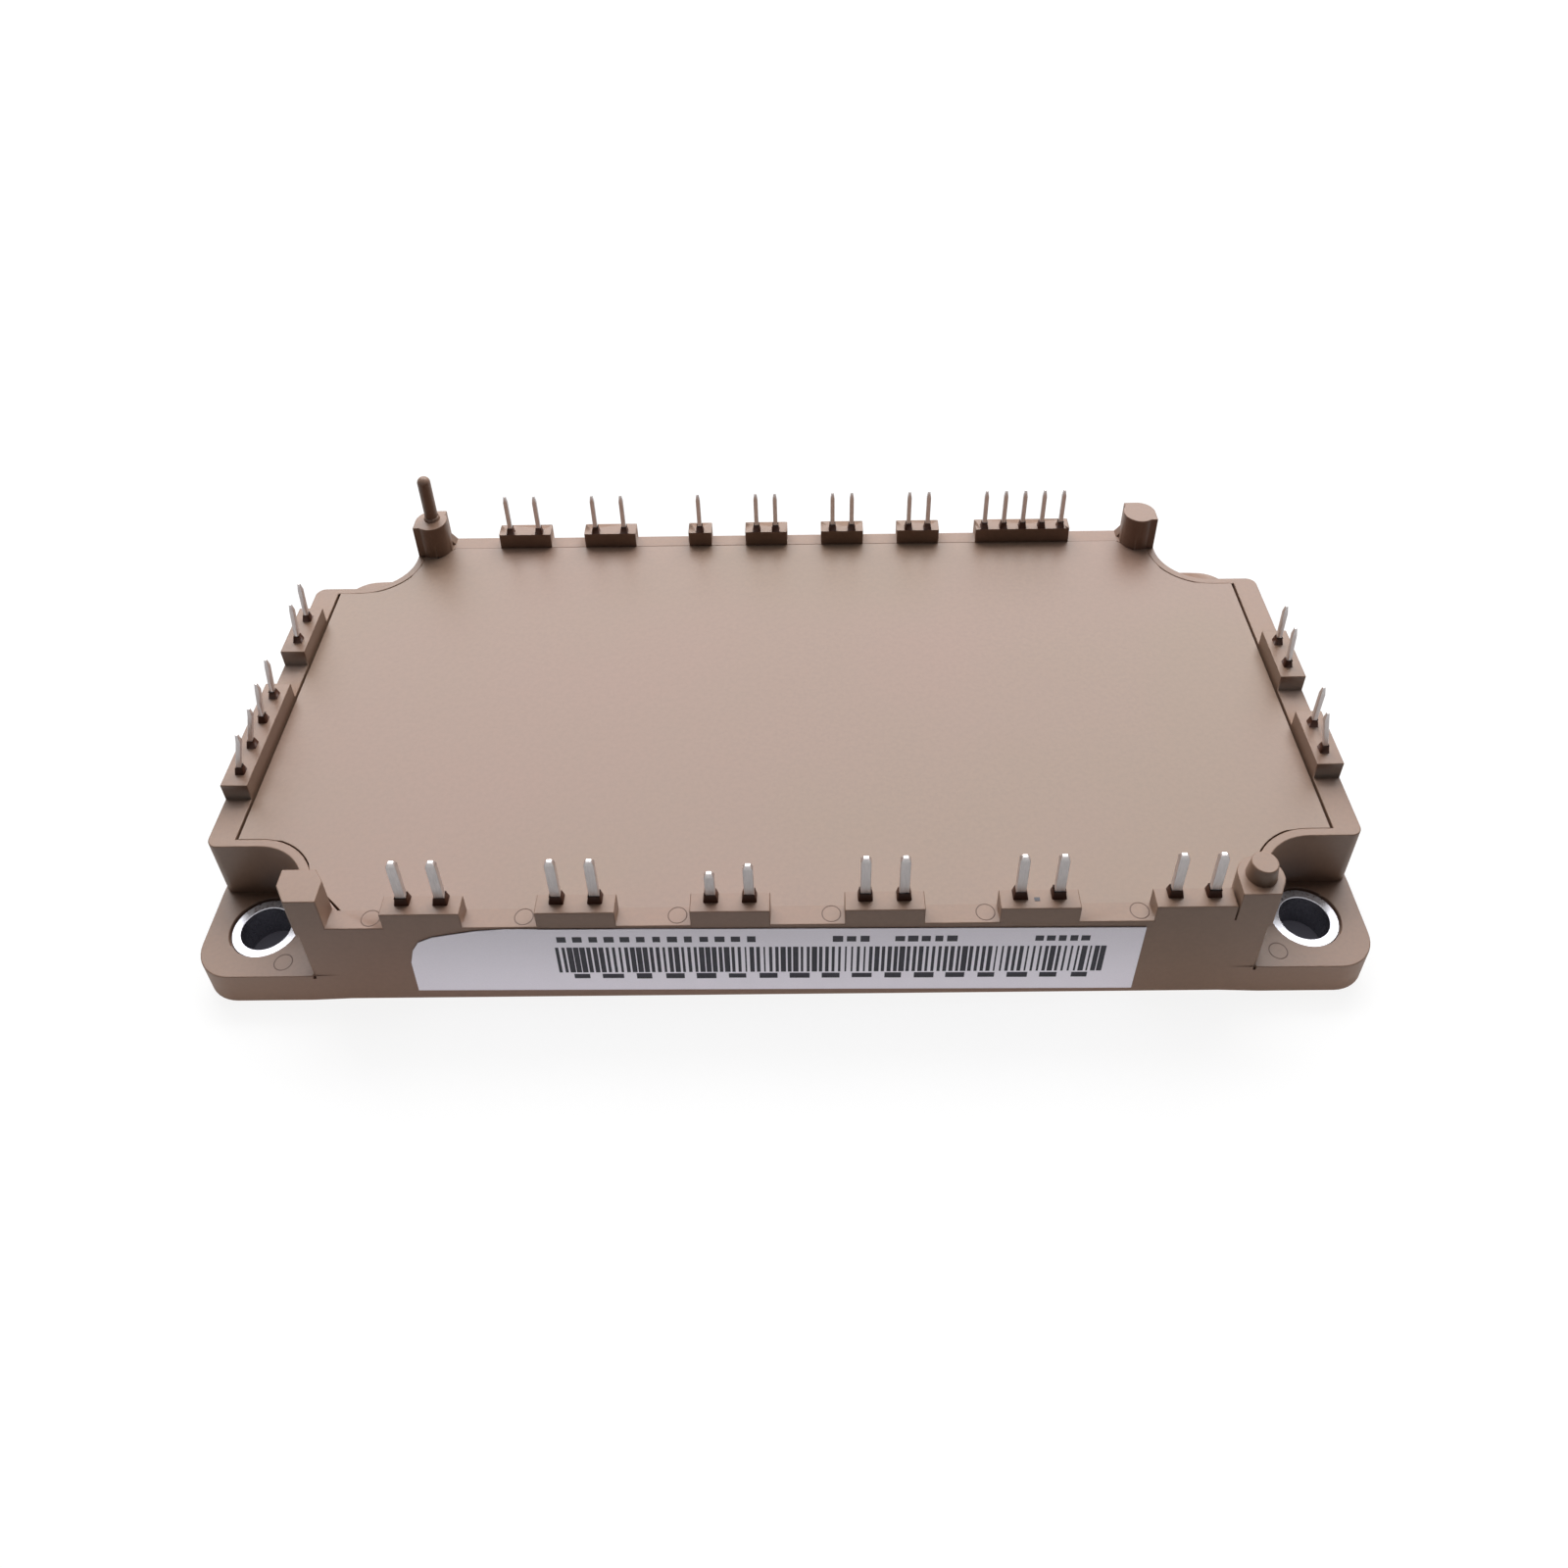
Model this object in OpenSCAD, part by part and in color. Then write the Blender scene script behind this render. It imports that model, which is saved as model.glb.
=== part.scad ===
// Power module in the 122 x 62 mm class: a moulded pin frame on a copper base plate.
// Origin at the middle of the mounting face, X along the length, Z up, millimetres.

/* [Housing] */
// Length over the mounting ears
body_len = 122; // [118:1:150]
// Width over the mounting ears
body_wid = 62; // [58:1:76]
// Height of the frame's rim above the mounting face
frame_h = 12.2; // [11:0.1:15]
// Height of the mounting ears
ear_h = 4.4; // [4:0.1:5.5]
// Corner radius of the ears
ear_r = 4; // [2:0.5:5]
// Distance from an end or a side to a mounting hole
hole_inset = 6; // [5.5:0.1:7]
// Bore of a mounting bushing
bore_d = 5.1; // [4.5:0.1:5.5]
// Outer diameter of a mounting bushing
bushing_d = 7.1; // [6.6:0.1:7.6]

/* [Cover] */
// Thickness of the cover
cover_t = 1.6; // [1:0.1:2.2]
// Rim left outside the cover at the ends
rim_end = 3.2; // [3:0.1:3.6]
// Rim left outside the cover along the sides
rim_side = 2.45; // [2.3:0.05:2.6]
// Gap around the cover
cover_gap = 0.12; // [0.05:0.01:0.2]

/* [Pins] */
// Height of the pin tips above the mounting face
tip_z = 20.5; // [18.5:0.1:24]
// Distance between the two pins of a power terminal
power_pitch = 3.81; // [3.4:0.01:4.2]
// Distance between two power terminals
power_step = 15.24; // [14:0.01:16.5]
// Distance between two control pins
gate_pitch = 2.54; // [2.2:0.01:2.8]
// Width of a power pin
power_w = 1; // [0.8:0.05:1.2]
// Thickness of a power pin
power_t = 0.7; // [0.5:0.05:0.8]
// Side of a control pin
gate_w = 0.55; // [0.45:0.01:0.8]

/* [Inside] */
// Thickness of the base plate
plate_t = 3; // [2.5:0.1:3.5]
// Thickness of a ceramic substrate
ceramic_t = 0.38; // [0.32:0.02:0.63]
// Thickness of the copper on each face of the ceramic
foil_t = 0.3; // [0.2:0.05:0.4]
// Side of an inverter transistor chip
igbt_side = 6.5; // [5:0.1:7.5]
// Side of a rectifier diode chip
rectifier_side = 5.6; // [4:0.1:6]
// Diameter of a bond wire
wire_d = 0.38; // [0.25:0.01:0.5]

/* [Hidden] */
$fn = 48;

brown = [0.68, 0.60, 0.54];
pin_metal = [0.80, 0.79, 0.78];
copper = [0.78, 0.50, 0.36];
ceramic_white = [0.92, 0.92, 0.89];
chip_grey = [0.42, 0.43, 0.47];
solder_grey = [0.66, 0.67, 0.69];

half_len = body_len / 2;
half_wid = body_wid / 2;
frame_lift = 0.2;              // underside of the moulding above the mounting face
wall_inset = 0.15;             // the walls stand this far inside the ears
far = body_len;                // reach of a cutting shape
eps = 0.01;

// Corner notches over the mounting holes, and the chamfered corner of the cover
notch_len = 11.8;
notch_wid = 10.35;
notch_r = 6;
notch_rim = 1.1;
wall_chamfer = [1.1, 2];          // corner of the long walls beside the ears
ear_taper = 3;                  // length over which an ear runs out into the wall
slit_w = 0.3;                   // slit in the corner between a front wall and its ear
slit_depth = 0.15;
slit_z = 3.9;
slit_h = [2, 3];                // left and right
corner_flat = 6.2;
edge_r = 1.2;
notch_cx = half_len - notch_len + notch_r;
notch_cy = half_wid - notch_wid + notch_r;

// Mounting bushings and the shallow ring around each
hole_x = half_len - hole_inset;
hole_y = half_wid - hole_inset;
bushing_drop = 0.3;
bushing_ring = 0.12;
ring_depth = 0.5;

// Cover and the seat that carries it
cover_x = half_len - rim_end;
cover_y = half_wid - rim_side;
cover_top = frame_h - 0.05;
cover_z = cover_top - cover_t;
seat_w = 1.4;

// Base plate, its sealing bead and the window above it
seal_t = 0.2;
plate_gap = 0.15;
plate_lap = 2;
bushing_wall = 1.4;
side_shelf = 6.35;              // from the edge of a long side to the window
window_x = hole_x - bushing_d / 2 - bushing_wall - plate_lap - plate_gap;
window_y = half_wid - side_shelf;
plate_x = window_x + plate_lap;
plate_y = window_y + plate_lap;
shelf_z = plate_t + 2.4;

// Pin rows and the blocks that stiffen them
row_inset_y = 1.79;
row_inset_x = 1.8;
row_x = half_len - row_inset_x;
row_y = half_wid - row_inset_y;
block_rise = 2.2;               // height of the blocks above the rim
block_z = frame_h + block_rise;
block_margin_power = 2.05;
block_margin_gate = 1.55;
block_margin_row = 1.2;
collar_h = 0.9;
collar_margin = 0.25;
collar_lip = 0.08;
foot_t = 0.6;
foot_margin = 0.3;
power_tip = 0.5;                 // length of the taper at a pin's tip
gate_tip = 1;
tip_share = 0.5;                 // width left at the tip

// Posts on the corners, their tops a little below the tallest: cut corners in front, round behind
post_z = frame_h + 4.8;
post_x = half_len - 13.75;
post_side = 3.8;
post_depth = 3.8;
post_foot = 1;                  // how far a post reaches down into the wall
rear_chamfer = 0.8;
rear_round = 2.1;
left_post = [4.4, 3.9];         // length and depth of the front left post
left_drop = 0.4;
left_x = half_len - 13.6;
left_outer_cut = [1.2, 2];
left_inner_cut = [1, 1.4];
nose_side = 4.6;                // the front right post, with its round nose
nose_drop = 0.7;
nose_x = half_len - 13.95;
nose_cut = [0.9, 1.9];
stub_foot = 0.5;
stub_h = 2.5;
stub_r = [1.6, 1.3];
peg_x = half_len - 14;
peg_r = 0.85;
peg_h = 6.9;
peg_foot_h = 1.4;
peg_foot_r = [1.3, 0.95];
brace_h = 1;
brace_run = 0.7;
brace_depth = 1.3;
brace_sink = 1;

// Paper label on the front wall
label_len = 74;
label_h = 10.4;
label_t = 0.1;
label_place = [-1, 6.5];
label_turn = 0.6;

// Stack of substrates: three side by side in the window
stack_gap = 0.8;
solder_t = 0.15;
chip_solder_t = 0.1;
chip_t = 0.3;
sub_len = (2 * window_x - 4 * stack_gap) / 3;
sub_wid = 2 * window_y - 2 * stack_gap;
backing_z = plate_t + solder_t;
ceramic_z = backing_z + foil_t;
track_z = ceramic_z + ceramic_t;
track_top = track_z + foil_t;
chip_z = track_top + chip_solder_t;
chip_top = chip_z + chip_t;
foil_edge = 1;
track_gap = 0.8;
rail_wid = 19;
field_wid = sub_wid - 2 * foil_edge - rail_wid - track_gap;
pad_len = (sub_len - 2 * foil_edge - 2 * track_gap) / 3;
rail_y = sub_wid / 2 - foil_edge - rail_wid / 2;
pad_y = -sub_wid / 2 + foil_edge + field_wid / 2;
pad_step = pad_len + track_gap;
low_diode_side = 4.6;
brake_side = 5;
ntc_size = [3.2, 1.6, 1.1];
ntc_pad = 5;
wire_r = wire_d / 2;
wire_reach = 1.8;               // how far a wire lands past the edge of the rail
wire_drop = 1.1;                // how far a wire lands past the edge of its chip
gel_gap = 1.6;                  // air between the gel and the cover
gel_cover = 0.2;                // gel over the highest wire
wire_top = chip_top + (rail_wid / 4 + wire_reach) / 2 + wire_r;
gel_top = max(cover_z - gel_gap, wire_top + gel_cover);
foot_wire_inset = 0.7;
foot_wire_land = 1;
foot_wire_gap = 0.29;            // from a chip to the middle of a wire beside it

// Terminals: [side, place along the side, pins, pitch, blade width, blade thickness, common foot,
// lean of each pin towards the middle]
// side 0 is the front, 1 the right end, 2 the back and 3 the left end
UPRIGHT = [0, 0, 0, 0, 0];
function power_place(i) = 2.54 + (i - 2.5) * power_step;
input_r = [0, power_place(0), 2, power_pitch, power_w, power_t, true, UPRIGHT];
input_s = [0, power_place(1), 2, power_pitch, power_w, power_t, true, UPRIGHT];
input_t = [0, power_place(2), 2, power_pitch, power_w, power_t, true, UPRIGHT];
output_u = [0, power_place(3), 2, power_pitch, power_w, power_t, true, UPRIGHT];
output_v = [0, power_place(4), 2, power_pitch, power_w, power_t, true, UPRIGHT];
output_w = [0, power_place(5), 2, power_pitch, power_w, power_t, true, UPRIGHT];
dc_positive = [2, -34.925, 2, power_pitch, gate_w, gate_w, true, UPRIGHT];
dc_link = [2, -23.495, 2, power_pitch, gate_w, gate_w, true, UPRIGHT];
brake = [2, -11.43, 1, gate_pitch, gate_w, gate_w, false, UPRIGHT];
gate_u = [2, -2.54, 2, gate_pitch, gate_w, gate_w, false, UPRIGHT];
gate_v = [2, 7.62, 2, gate_pitch, gate_w, gate_w, false, UPRIGHT];
gate_w_pins = [2, 17.78, 2, gate_pitch, gate_w, gate_w, false, UPRIGHT];
low_side_gate = [2, 31.75, 5, gate_pitch, gate_w, gate_w, false, UPRIGHT];
dc_negative = [3, 10.5, 2, power_pitch, gate_w, gate_w, true, [0.25, 0.4]];
emitter = [3, -6.5, 4, power_pitch, gate_w, gate_w, true, [0.45, 0.6, 1.05, 1.05]];
ntc_pins = [1, 4.4, 2, power_pitch, gate_w, gate_w, false, [0.2, 0.1]];
sense = [1, -8.9, 2, power_pitch, gate_w, gate_w, false, [0.8, 0]];
TERMINALS = [input_r, input_s, input_t, output_u, output_v, output_w, dc_positive, dc_link,
    brake, gate_u, gate_v, gate_w_pins, low_side_gate, dc_negative, emitter, ntc_pins, sense];

// Two pins of the third input are cut short, and those at the ends stand a little lower
short_left = 2.1;
short_right = 0.95;
short_end = 0.3;

function at_end(t) = t[0] == 1 || t[0] == 3;
function row_dist(t) = at_end(t) ? row_x : row_y;
function wall_dist(t) = (at_end(t) ? half_len : half_wid) - wall_inset;
function foot_reach(t) = row_dist(t) - (at_end(t) ? window_x : window_y) - foot_margin;
function pin_offset(t, i) = (i - (t[2] - 1) / 2) * t[3];
function block_margin(t) = t[3] > 3 && t[0] != 2 ? block_margin_power
    : t[2] > 4 ? block_margin_row : block_margin_gate;
function half_span(t) = (t[2] - 1) / 2 * t[3] + block_margin(t);
function side_turn(t) = [0, 90, 180, 270][t[0]];
function along(t) = t[0] == 2 || t[0] == 3 ? -t[1] : t[1];

// Puts a child, drawn with its row on the X axis and +Y inwards, on a terminal's place
module on_side(t) {
    rotate([0, 0, side_turn(t)])
        translate([along(t), -row_dist(t), 0])
            children();
}

module both_ways() {
    for (sx = [0, 1], sy = [0, 1])
        mirror([sx, 0, 0])
            mirror([0, sy, 0])
                children();
}

module rounded_rect(len, wid, r) {
    square([len - 2 * r, wid], center = true);
    square([len, wid - 2 * r], center = true);
    for (x = [-1, 1], y = [-1, 1])
        translate([x * (len / 2 - r), y * (wid / 2 - r)])
            circle(r = r);
}

// The corner cut of the first quarter
module corner_cut() {
    translate([notch_cx, notch_cy])
        circle(r = notch_r);
    translate([notch_cx, notch_cy - notch_r])
        square(far);
    translate([notch_cx - notch_r, notch_cy])
        square(far);
}

// Walls of the frame: a plate notched at the corners, with rounded and chamfered arrises
module wall_outline() {
    x = half_len - wall_inset;
    y = half_wid - notch_wid;
    wall_y = half_wid - wall_inset;
    wall_end = half_len - notch_len;
    difference() {
        square([2 * x, 2 * wall_y], center = true);
        both_ways() {
            corner_cut();
            polygon([[wall_end - wall_chamfer[0], wall_y], [wall_end, wall_y - wall_chamfer[1]],
                [wall_end + 1, wall_y - wall_chamfer[1]], [wall_end + 1, wall_y + 1],
                [wall_end - wall_chamfer[0], wall_y + 1]]);
            translate([x - edge_r, y - edge_r])
                difference() {
                    square(2 * edge_r);
                    circle(r = edge_r);
                }
        }
    }
}

// Outline of the cover, taken in by an inset: arcs at the notches and flats at the posts
module cover_outline(inset) {
    flat = (corner_flat + inset) * sqrt(2);
    difference() {
        square([2 * (cover_x - inset), 2 * (cover_y - inset)], center = true);
        both_ways() {
            translate([notch_cx, notch_cy])
                circle(r = notch_r + notch_rim + inset);
            translate([notch_cx, notch_cy - notch_r - notch_rim - inset])
                square(far);
            translate([notch_cx, notch_cy])
                polygon([[-flat, 0], [far, 0], [far, far], [-flat - far, far]]);
        }
    }
}

// One mounting ear of the first quarter, running out into the walls it meets
module ear_outline() {
    x = half_len - notch_len;
    y = half_wid - notch_wid;
    inner_x = x - wall_chamfer[0] - ear_taper;
    inner_y = y - ear_taper;
    intersection() {
        rounded_rect(body_len, body_wid, ear_r);
        polygon([[inner_x, y], [x, y], [x, inner_y], [half_len - wall_inset, inner_y], [half_len, y],
            [half_len, half_wid], [x, half_wid], [inner_x, half_wid - wall_inset]]);
    }
}

module mounting_places() {
    for (x = [-1, 1], y = [-1, 1])
        translate([x * hole_x, y * hole_y, 0])
            children();
}

// One pin: a blade with a tapered tip, whose upper part may lean inwards
module blade(w, t, top, lean) {
    knee = block_z + collar_h;
    c = w > t ? power_tip : gate_tip;
    k = tip_share / 2;
    intersection() {
        translate([-w / 2, 0, 0])
            rotate([90, 0, 90])
                linear_extrude(w)
                    polygon([[-t / 2, shelf_z], [t / 2, shelf_z], [t / 2, knee],
                        [t / 2 + lean, top - c], [k * t + lean, top], [-k * t + lean, top],
                        [-t / 2 + lean, top - c], [-t / 2, knee]]);
        translate([0, far, 0])
            rotate([90, 0, 0])
                linear_extrude(2 * far)
                    polygon([[-w / 2, 0], [w / 2, 0], [w / 2, top - c],
                        [k * w, top], [-k * w, top], [-w / 2, top - c]]);
    }
}

// The lead under a terminal's pins, lying on the inner shelf
module foot(t, len) {
    translate([-len / 2, -t[5] / 2, shelf_z])
        cube([len, foot_reach(t) + t[5] / 2, foot_t]);
}

function pin_top(t, i) = tip_z - (t == input_t ? (i == 0 ? short_left : short_right) : 0)
    - (at_end(t) ? short_end : 0);

module terminal(t) {
    color(pin_metal)
        on_side(t) {
            if (t[6])
                foot(t, (t[2] - 1) * t[3] + t[4] + 1);
            for (i = [0 : t[2] - 1])
                translate([pin_offset(t, i), 0, 0]) {
                    blade(t[4], t[5], pin_top(t, i), t[7][i]);
                    if (!t[6])
                        foot(t, t[4] + 0.4);
                }
        }
}

// Tapered collar around the foot of a pin, sunk a little into its block
module collar(w, t) {
    low = block_z - 0.5;
    top = block_z + collar_h;
    module flank(size) {
        a = size / 2 + collar_margin;
        b = size / 2 + collar_lip;
        translate([0, far, 0])
            rotate([90, 0, 0])
                linear_extrude(2 * far)
                    polygon([[-a, low], [a, low], [a, block_z], [b, top], [-b, top], [-a, block_z]]);
    }
    intersection() {
        flank(w);
        rotate([0, 0, 90])
            flank(t);
    }
}

// Block and collars that the moulding forms around one terminal's pins
module pin_block(t) {
    depth_out = wall_dist(t) - row_dist(t);
    cover_edge = (at_end(t) ? cover_x : cover_y) + cover_gap;
    depth_in = row_dist(t) - cover_edge;
    on_side(t) {
        translate([-half_span(t), -depth_out, frame_h - 1])
            cube([2 * half_span(t), depth_out + depth_in, block_z - frame_h + 1]);
        for (i = [0 : t[2] - 1])
            translate([pin_offset(t, i), 0, 0])
                collar(t[4], t[5]);
    }
}

// Outline of the front left post with its outer edge on the wall, its corners cut
module trimmed_post() {
    x0 = left_x - left_post[0] / 2;
    x1 = left_x + left_post[0] / 2;
    y1 = half_wid - wall_inset;
    y0 = y1 - left_post[1];
    polygon([[x0, y0 + left_inner_cut[1]], [x0 + left_inner_cut[0], y0], [x1, y0],
        [x1, y1 - left_outer_cut[1]], [x1 - left_outer_cut[0], y1], [x0, y1]]);
}

// Outline of a rear post, its inner corner cut and its outer corner rounded
module round_post() {
    x0 = post_x - post_side / 2;
    x1 = post_x + post_side / 2;
    y1 = half_wid - wall_inset;
    y0 = y1 - post_depth;
    polygon([[x0, y0 + rear_chamfer], [x0 + rear_chamfer, y0], [x1, y0], [x1, y1 - rear_round],
        [x1 - rear_round, y1], [x0, y1]]);
    translate([x1 - rear_round, y1 - rear_round])
        circle(r = rear_round);
}

// Outline of the front right post, round on its inner side
module nosed_post() {
    r = nose_side / 2;
    y1 = half_wid - wall_inset;
    translate([nose_x, y1 - r])
        circle(r = r);
    polygon([[nose_x - r, y1 - r], [nose_x + r, y1 - r], [nose_x + r, y1 - nose_cut[1]],
        [nose_x + r - nose_cut[0], y1], [nose_x - r, y1]]);
}

module posts() {
    low = frame_h - post_foot;
    tall = post_z - low;
    translate([0, 0, low]) {
        mirror([1, 0, 0])
            mirror([0, 1, 0])
                linear_extrude(tall - left_drop)
                    trimmed_post();
        mirror([0, 1, 0])
            linear_extrude(tall - nose_drop)
                nosed_post();
        mirror([1, 0, 0])
            linear_extrude(tall)
                round_post();
        linear_extrude(tall)
            round_post();
    }
    // Flat-topped stub on the front right post
    translate([nose_x, -(half_wid - wall_inset - nose_side / 2), post_z - nose_drop - stub_foot])
        cylinder(h = stub_h, r1 = stub_r[0], r2 = stub_r[1]);
    // Locating peg on the rear left post
    translate([-peg_x, row_y, post_z - post_foot]) {
        cylinder(h = peg_foot_h, r1 = peg_foot_r[0], r2 = peg_foot_r[1]);
        cylinder(h = peg_h, r = peg_r);
        translate([0, 0, peg_h])
            sphere(r = peg_r);
    }
}

// Short slopes that brace the rear posts along the wall
module post_braces() {
    for (s = [-1, 1])
        translate([s * (post_x - post_side / 2), half_wid - wall_inset, frame_h])
            rotate([90, 0, 0])
                linear_extrude(brace_depth)
                    polygon([[s, -brace_sink], [s, brace_h], [0, brace_h], [-brace_run * s, 0],
                        [-brace_run * s, -brace_sink]]);
}

// Slits in the corners between the front wall and the ears
module ear_slits() {
    x = half_len - notch_len - wall_chamfer[0];
    for (side = [0, 1])
        translate([(2 * side - 1) * x - slit_w / 2, -half_wid, slit_z])
            cube([slit_w, wall_inset + slit_depth, slit_h[side]]);
}

module base_plate() {
    color(copper)
        linear_extrude(plate_t)
            rounded_rect(2 * plate_x, 2 * plate_y, 2);
}

module housing_frame() {
    recess_z = plate_t + seal_t;
    color(brown)
        difference() {
            union() {
                translate([0, 0, frame_lift])
                    linear_extrude(ear_h - frame_lift)
                        both_ways()
                            ear_outline();
                translate([0, 0, frame_lift])
                    linear_extrude(frame_h - frame_lift)
                        wall_outline();
                for (t = TERMINALS)
                    pin_block(t);
                posts();
                post_braces();
            }
            // Pocket for the cover, and the space above the shelf
            translate([0, 0, cover_z])
                linear_extrude(cover_t + 0.05 + eps)
                    cover_outline(-cover_gap);
            translate([0, 0, shelf_z])
                linear_extrude(frame_h - shelf_z)
                    cover_outline(seat_w);
            // Window over the substrates, and the recess for the base plate
            linear_extrude(frame_h)
                square([2 * window_x, 2 * window_y], center = true);
            linear_extrude(recess_z)
                rounded_rect(2 * (plate_x + plate_gap), 2 * (plate_y + plate_gap), 2);
            // Seats of the bushings
            mounting_places() {
                cylinder(h = frame_h, d = bushing_d);
                translate([0, 0, ear_h - ring_depth])
                    cylinder(h = 2 * ring_depth, r = bushing_d / 2 + bushing_ring);
            }
            ear_slits();
            for (t = TERMINALS)
                terminal(t);
        }
}

module cover_plate() {
    color(brown)
        translate([0, 0, cover_z])
            linear_extrude(cover_t)
                cover_outline(0);
}

module mounting_bushings() {
    color(pin_metal)
        mounting_places()
            difference() {
                cylinder(h = ear_h - bushing_drop, d = bushing_d);
                translate([0, 0, -1])
                    cylinder(h = ear_h + 2, d = bore_d);
            }
}

module base_seal() {
    color([0.85, 0.85, 0.82])
        translate([0, 0, plate_t])
            linear_extrude(seal_t)
                difference() {
                    rounded_rect(2 * plate_x, 2 * plate_y, 2);
                    square([2 * window_x, 2 * window_y], center = true);
                }
}

// Centres of the three substrates, from the left: rectifier, high side, low side
function sub_x(i) = (i - 1) * (sub_len + stack_gap);

module each_substrate() {
    for (i = [0 : 2])
        translate([sub_x(i), 0, 0])
            children();
}

module plate_slab(len, wid, z, t) {
    translate([-len / 2, -wid / 2, z])
        cube([len, wid, t]);
}

module substrate_solder() {
    color(solder_grey)
        each_substrate()
            plate_slab(sub_len - 2 * foil_edge, sub_wid - 2 * foil_edge, plate_t, solder_t);
}

module copper_backings() {
    color(copper)
        each_substrate()
            plate_slab(sub_len - 2 * foil_edge, sub_wid - 2 * foil_edge, backing_z, foil_t);
}

module ceramic(i) {
    color(ceramic_white)
        translate([sub_x(i), 0, 0])
            plate_slab(sub_len, sub_wid, ceramic_z, ceramic_t);
}

// Copper on top of one substrate: a rail at the back and three pads in front of it
module tracks(i, ntc) {
    rail_len = sub_len - 2 * foil_edge - (ntc ? ntc_pad + track_gap : 0);
    color(copper)
        translate([sub_x(i), 0, 0]) {
            translate([-sub_len / 2 + foil_edge + rail_len / 2, rail_y, 0])
                plate_slab(rail_len, rail_wid, track_z, foil_t);
            for (k = [-1, 0, 1])
                translate([k * pad_step, pad_y, 0])
                    plate_slab(pad_len, field_wid, track_z, foil_t);
            if (ntc)
                for (s = [-1, 1])
                    translate([ntc_x(), rail_y + s * (rail_wid + track_gap) / 4, 0])
                        plate_slab(ntc_pad, (rail_wid - track_gap) / 2, track_z, foil_t);
        }
}

function ntc_x() = sub_len / 2 - foil_edge - ntc_pad / 2;

// Places of the chips as [x, y]
rail_row_back = rail_y + rail_wid / 4;
rail_row_front = rail_y - rail_wid / 4;
field_row_back = pad_y + field_wid / 4;
field_row_front = pad_y - field_wid / 4;
function row_of_three(i, y) = [for (k = [-1, 0, 1]) [sub_x(i) + k * pad_step, y]];
rectifier_places = concat(row_of_three(0, rail_row_front), row_of_three(0, field_row_back));
high_igbt_places = row_of_three(1, rail_row_front);
high_diode_places = row_of_three(1, rail_row_back);
low_igbt_places = row_of_three(2, field_row_back);
low_diode_places = row_of_three(2, field_row_front);
brake_igbt_place = [[sub_x(2) - pad_step, rail_row_front]];
brake_diode_place = [[sub_x(2) - pad_step, rail_row_back]];

// Every chip group with its side, for the solder under the chips and the gel around them
CHIP_GROUPS = [[rectifier_places, rectifier_side], [high_igbt_places, igbt_side],
    [high_diode_places, low_diode_side], [low_igbt_places, igbt_side],
    [low_diode_places, low_diode_side], [brake_igbt_place, brake_side],
    [brake_diode_place, low_diode_side]];

module chips(places, side, z, t) {
    for (p = places)
        translate([p[0], p[1], 0])
            plate_slab(side, side, z, t);
}

module chip_solder() {
    color(solder_grey)
        for (g = CHIP_GROUPS)
            chips(g[0], g[1], track_top, chip_solder_t);
}

module thermistor() {
    color([0.2, 0.2, 0.22])
        translate([sub_x(2) + ntc_x(), rail_y, 0])
            plate_slab(ntc_size[1], ntc_size[0], track_top, ntc_size[2]);
}

// One bond wire: half a ring standing on two places, with a leg down to the lower one
module bond_wire(x, y0, z0, y1, z1) {
    high = max(z0, z1);
    reach = abs(y1 - y0) / 2;
    translate([x, (y0 + y1) / 2, high])
        rotate([90, 0, 90])
            rotate_extrude(angle = 180)
                translate([reach, 0])
                    circle(r = wire_r, $fn = 16);
    if (abs(z0 - z1) > eps)
        translate([x, z0 < z1 ? y0 : y1, min(z0, z1)])
            cylinder(h = abs(z0 - z1), r = wire_r, $fn = 16);
}

// Three wires from each chip to the copper in front of it
module chip_wires(places, side, landing) {
    for (p = places, k = [-1, 0, 1])
        bond_wire(p[0] + k * side / 4, p[1], chip_top, p[1] - landing, track_top);
}

module chip_bond_wires() {
    over_rail = rail_wid / 4 + wire_reach;
    color([0.88, 0.88, 0.88]) {
        chip_wires(row_of_three(0, rail_row_front), rectifier_side, over_rail);
        chip_wires(row_of_three(0, field_row_back), rectifier_side, rectifier_side / 2 + wire_drop);
        chip_wires(high_igbt_places, igbt_side, over_rail);
        chip_wires(low_igbt_places, igbt_side, igbt_side / 2 + wire_drop);
        chip_wires(low_diode_places, low_diode_side, low_diode_side / 2 + wire_drop);
        chip_wires(brake_igbt_place, brake_side, over_rail);
    }
}

// Wires from the feet of the terminals to the copper nearest to them
module foot_wires(t) {
    inner = foot_reach(t);
    land = at_end(t) ? floor(100 * ((pad_len - igbt_side) / 2 - foot_wire_gap)) / 100 : foot_wire_land;
    end = (at_end(t) ? window_x : window_y) - stack_gap - foil_edge - land;
    for (i = [0 : t[2] - 1])
        on_side(t)
            bond_wire(pin_offset(t, i), inner - foot_wire_inset, shelf_z + foot_t,
                row_dist(t) - end, track_top);
}

module terminal_bond_wires() {
    color([0.88, 0.88, 0.88])
        for (t = TERMINALS)
            foot_wires(t);
}

module silicone_gel() {
    color([0.75, 0.82, 0.86, 0.5])
        difference() {
            union() {
                translate([0, 0, shelf_z])
                    linear_extrude(gel_top - shelf_z)
                        cover_outline(seat_w);
                translate([0, 0, plate_t])
                    linear_extrude(shelf_z - plate_t + eps)
                        square([2 * window_x, 2 * window_y], center = true);
            }
            substrate_solder();
            copper_backings();
            for (i = [0 : 2]) {
                ceramic(i);
                tracks(i, i == 2);
            }
            chip_solder();
            for (g = CHIP_GROUPS)
                chips(g[0], g[1], chip_z, chip_t);
            thermistor();
            chip_bond_wires();
            terminal_bond_wires();
            for (t = TERMINALS)
                terminal(t);
        }
}

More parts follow.
